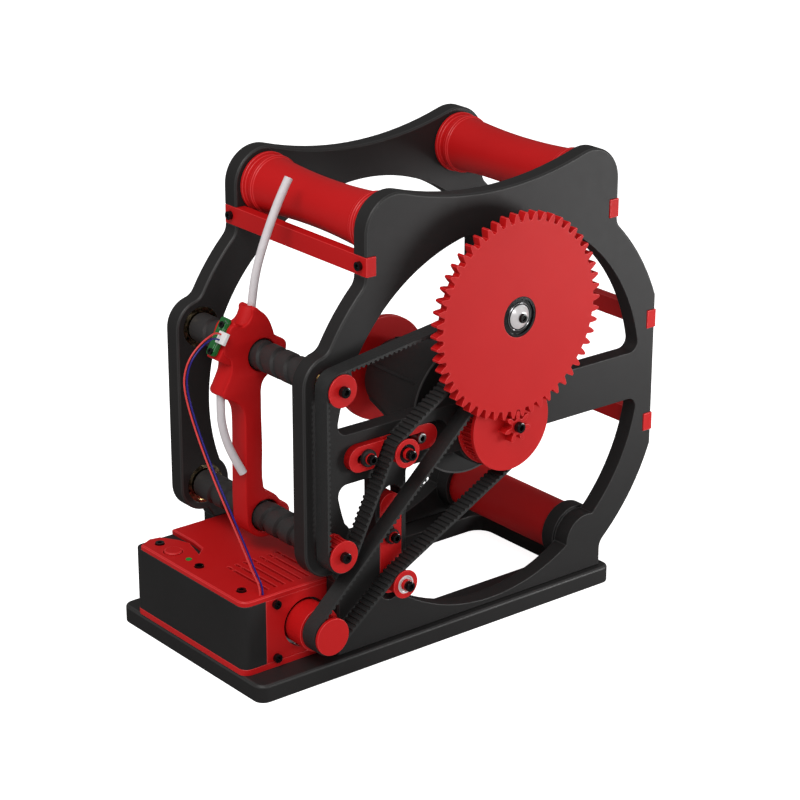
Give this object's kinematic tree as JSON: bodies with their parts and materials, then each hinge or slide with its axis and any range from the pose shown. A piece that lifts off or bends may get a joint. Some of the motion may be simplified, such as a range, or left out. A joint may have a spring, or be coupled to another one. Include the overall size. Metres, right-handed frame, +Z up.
{
  "type": "filament spool winder",
  "caption": "Tabletop filament spool winder: ring side frames, geared winding hub, belt-driven level-wind guide, top rollers and a motor box.",
  "frame": {"origin": "under the middle of the whole machine, at the level of the table", "axes": "+X runs from the control box to the rear, +Y from the gear side to the loading side, +Z is up"},
  "size_m": [0.2791, 0.1486, 0.255],
  "materials": {
    "black_plastic": "satin charcoal printed plastic",
    "red_plastic": "semi-gloss red printed plastic",
    "black_screw": "black oxide, glossy",
    "bearing_steel": "polished bearing steel",
    "bright_steel": "bright",
    "belt_rubber": "matt",
    "circuit_green": "solder mask",
    "lamp_green": "clear lamp",
    "connector_white": "satin",
    "clear_tube": "milky fluoropolymer",
    "wire_red": "satin insulation",
    "wire_blue": "satin insulation"
  },
  "bodies": {
    "stand": {"base_plate": "black_plastic", "near_side_frame": "black_plastic", "far_side_frame": "black_plastic", "front_cross_bar": "red_plastic", "rear_cross_bars": "red_plastic", "small_socket_screws": "black_screw", "tie_tube": "red_plastic", "roller_axles": "bearing_steel", "frame_bearings": "bearing_steel", "gear_axle_bolt": "bright_steel", "slider_clamp_screws": "black_screw", "slider_clamp_washers": "black_plastic", "clamp_plates": "black_plastic", "box_floor": "red_plastic", "box_shell": "black_plastic", "box_lid": "red_plastic", "box_face_plate": "red_plastic", "status_lamp": "lamp_green", "control_electronics": "circuit_green", "drive_motor": "bright_steel", "lead_belt": "belt_rubber", "drive_belt": "belt_rubber"},
    "winding_shaft": {"hub_shaft": "bright_steel", "spool_hub": "black_plastic", "drive_pulley": "red_plastic", "drive_pinion": "red_plastic", "hub_screw": "black_screw"},
    "hand_nut": {"clamp_nut": "red_plastic"},
    "lead_gear": {"winding_gear": "red_plastic", "gear_bearing": "bearing_steel", "lead_pulley": "red_plastic"},
    "motor_rotor": {"motor_shaft": "bright_steel", "motor_pulley": "red_plastic"},
    "upper_screw": {"upper_reversing_rod": "black_plastic", "upper_rod_pulley": "red_plastic", "upper_rod_screw": "black_screw"},
    "lower_screw": {"lower_reversing_rod": "black_plastic", "lower_rod_pulley": "red_plastic", "lower_rod_screw": "black_screw"},
    "upper_tensioner": {"upper_tension_slider": "red_plastic", "upper_idler_bolt": "black_screw"},
    "lower_tensioner": {"lower_tension_slider": "red_plastic", "lower_idler_bolt": "black_screw"},
    "upper_idler_wheel": {"upper_idler": "red_plastic", "upper_idler_bearings": "bearing_steel"},
    "lower_idler_wheel": {"lower_idler": "red_plastic", "lower_idler_bearings": "bearing_steel"},
    "front_roll": {"front_roller": "red_plastic", "front_roller_bearings": "bearing_steel"},
    "rear_roll": {"rear_roller": "red_plastic", "rear_roller_bearings": "bearing_steel"},
    "filament_guide": {"level_wind_guide": "red_plastic", "sensor_board": "circuit_green", "sensor_screws": "black_screw", "wire_connector": "connector_white", "upper_filament_tube": "clear_tube", "lower_filament_tube": "clear_tube", "red_sensor_wire": "wire_red", "blue_sensor_wire": "wire_blue"},
    "button": {"power_button": "red_plastic"}
  },
  "joints": [
    {"name": "hub_spin", "type": "hinge", "parent": "stand", "child": "winding_shaft", "pos_m": [0.0195, 0.0113, 0.1195], "axis": [0, 1, 0], "continuous": true},
    {"name": "clamp_nut_turn", "type": "hinge", "parent": "winding_shaft", "child": "hand_nut", "pos_m": [0.0195, 0.0113, 0.1195], "axis": [0, 1, 0], "continuous": true},
    {"name": "gear_spin", "type": "hinge", "parent": "stand", "child": "lead_gear", "pos_m": [0.0195, 0.0113, 0.1805], "axis": [0, 1, 0], "continuous": true},
    {"name": "motor_spin", "type": "hinge", "parent": "stand", "child": "motor_rotor", "pos_m": [-0.0989, 0.0113, 0.0304], "axis": [0, 1, 0], "continuous": true},
    {"name": "upper_rod_spin", "type": "hinge", "parent": "stand", "child": "upper_screw", "pos_m": [-0.0907, 0.0113, 0.1631], "axis": [0, 1, 0], "continuous": true},
    {"name": "lower_rod_spin", "type": "hinge", "parent": "stand", "child": "lower_screw", "pos_m": [-0.0907, 0.0113, 0.0729], "axis": [0, 1, 0], "continuous": true},
    {"name": "upper_tension_slide", "type": "slide", "parent": "stand", "child": "upper_tensioner", "axis": [1, 0, 0], "range_m": [0, 0.004], "deforming": ["lead_belt"]},
    {"name": "lower_tension_slide", "type": "slide", "parent": "stand", "child": "lower_tensioner", "axis": [0, 0, -1], "range_m": [0, 0.0032], "deforming": ["drive_belt"]},
    {"name": "upper_idler_spin", "type": "hinge", "parent": "upper_tensioner", "child": "upper_idler_wheel", "pos_m": [-0.0495, 0.0113, 0.1195], "axis": [0, 1, 0], "continuous": true},
    {"name": "lower_idler_spin", "type": "hinge", "parent": "lower_tensioner", "child": "lower_idler_wheel", "pos_m": [-0.0505, 0.0113, 0.046], "axis": [0, 1, 0], "continuous": true},
    {"name": "front_roller_spin", "type": "hinge", "parent": "stand", "child": "front_roll", "pos_m": [-0.047, 0.0113, 0.2355], "axis": [0, 1, 0], "continuous": true},
    {"name": "rear_roller_spin", "type": "hinge", "parent": "stand", "child": "rear_roll", "pos_m": [0.086, 0.0113, 0.2355], "axis": [0, 1, 0], "continuous": true},
    {"name": "guide_slide", "type": "slide", "parent": "stand", "child": "filament_guide", "axis": [0, 1, 0], "range_m": [-0.043, 0.04], "deforming": ["red_sensor_wire", "blue_sensor_wire"]},
    {"name": "button_press", "type": "slide", "parent": "stand", "child": "button", "axis": [0, 0, -1], "range_m": [0, 0.0008], "stiffness_N_per_m": 300}
  ],
  "couplings": [
    {"joint": "gear_spin", "follows": "hub_spin", "ratio": -0.12963},
    {"joint": "motor_spin", "follows": "hub_spin", "ratio": 2.4762},
    {"joint": "upper_rod_spin", "follows": "hub_spin", "ratio": -0.10082},
    {"joint": "lower_rod_spin", "follows": "hub_spin", "ratio": -0.10082},
    {"joint": "upper_idler_spin", "follows": "hub_spin", "ratio": 0.11253},
    {"joint": "lower_idler_spin", "follows": "hub_spin", "ratio": -3.2244}
  ]
}
